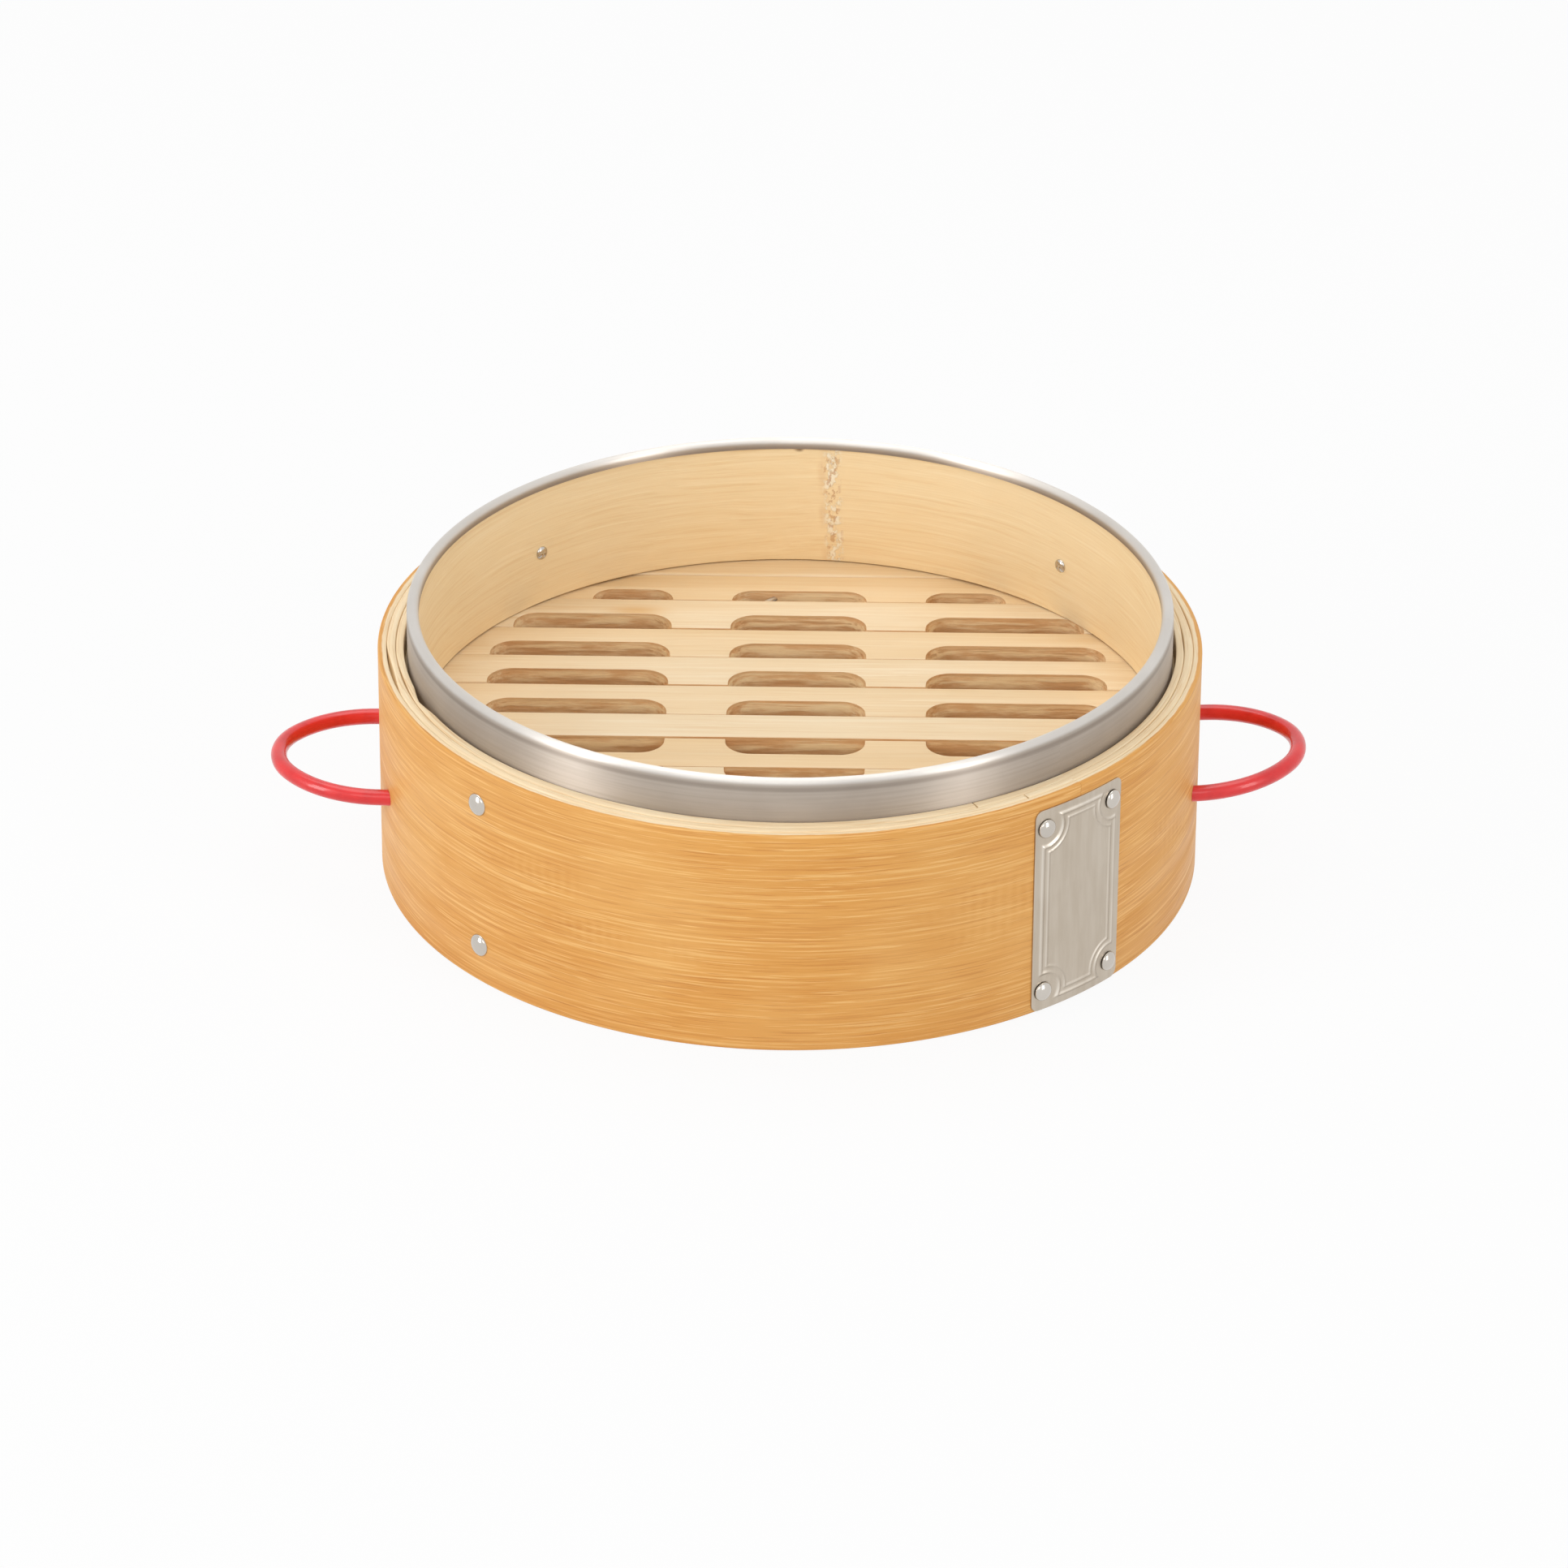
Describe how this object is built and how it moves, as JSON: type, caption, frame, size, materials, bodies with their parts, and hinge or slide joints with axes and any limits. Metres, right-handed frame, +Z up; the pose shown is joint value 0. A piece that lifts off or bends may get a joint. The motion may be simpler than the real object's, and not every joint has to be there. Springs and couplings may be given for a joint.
{
  "type": "steamer basket",
  "caption": "Round bamboo steamer tier with a slotted slat floor, a steel-edged collar that nests in the tier above, looped handles and a blank metal plate.",
  "frame": {"origin": "centre of the bottom edge of the wall, on the surface that the basket stands on", "axes": "+X through the right handle, +Y towards the rear, +Z up"},
  "size_m": [0.3033, 0.24, 0.0814],
  "materials": {
    "caramel_bamboo": "satin",
    "pale_bamboo": "satin",
    "collar_bamboo": "satin",
    "slat_bamboo": "satin",
    "batten_bamboo": "satin",
    "nail_steel": "satin",
    "rim_steel": "brushed",
    "plate_steel": "satin",
    "rivet_steel": "polished",
    "wire_steel": "satin",
    "red_sleeve": "glossy"
  },
  "bodies": {
    "root": {"outer_band": "caramel_bamboo", "middle_band": "pale_bamboo", "inner_liner": "pale_bamboo", "upper_collar": "collar_bamboo", "filler_hoop": "pale_bamboo", "support_ring": "pale_bamboo", "batten_left": "batten_bamboo", "batten_right": "batten_bamboo", "batten_nails": "nail_steel", "slat_brad": "nail_steel", "steel_rim": "rim_steel", "nameplate": "plate_steel", "nameplate_rivets": "rivet_steel", "upper_band_rivets": "rivet_steel", "lower_band_rivets": "rivet_steel", "handle_wire_left": "wire_steel", "handle_wire_right": "wire_steel", "handle_sleeve_left": "red_sleeve", "handle_sleeve_right": "red_sleeve", "floor_slat_01": "slat_bamboo", "floor_slat_02": "slat_bamboo", "floor_slat_03": "slat_bamboo", "floor_slat_04": "slat_bamboo", "floor_slat_05": "slat_bamboo", "floor_slat_06": "slat_bamboo", "floor_slat_07": "slat_bamboo", "floor_slat_08": "slat_bamboo", "floor_slat_09": "slat_bamboo", "floor_slat_10": "slat_bamboo", "floor_slat_11": "slat_bamboo", "floor_slat_12": "slat_bamboo", "floor_slat_13": "slat_bamboo"}
  },
  "joints": []
}
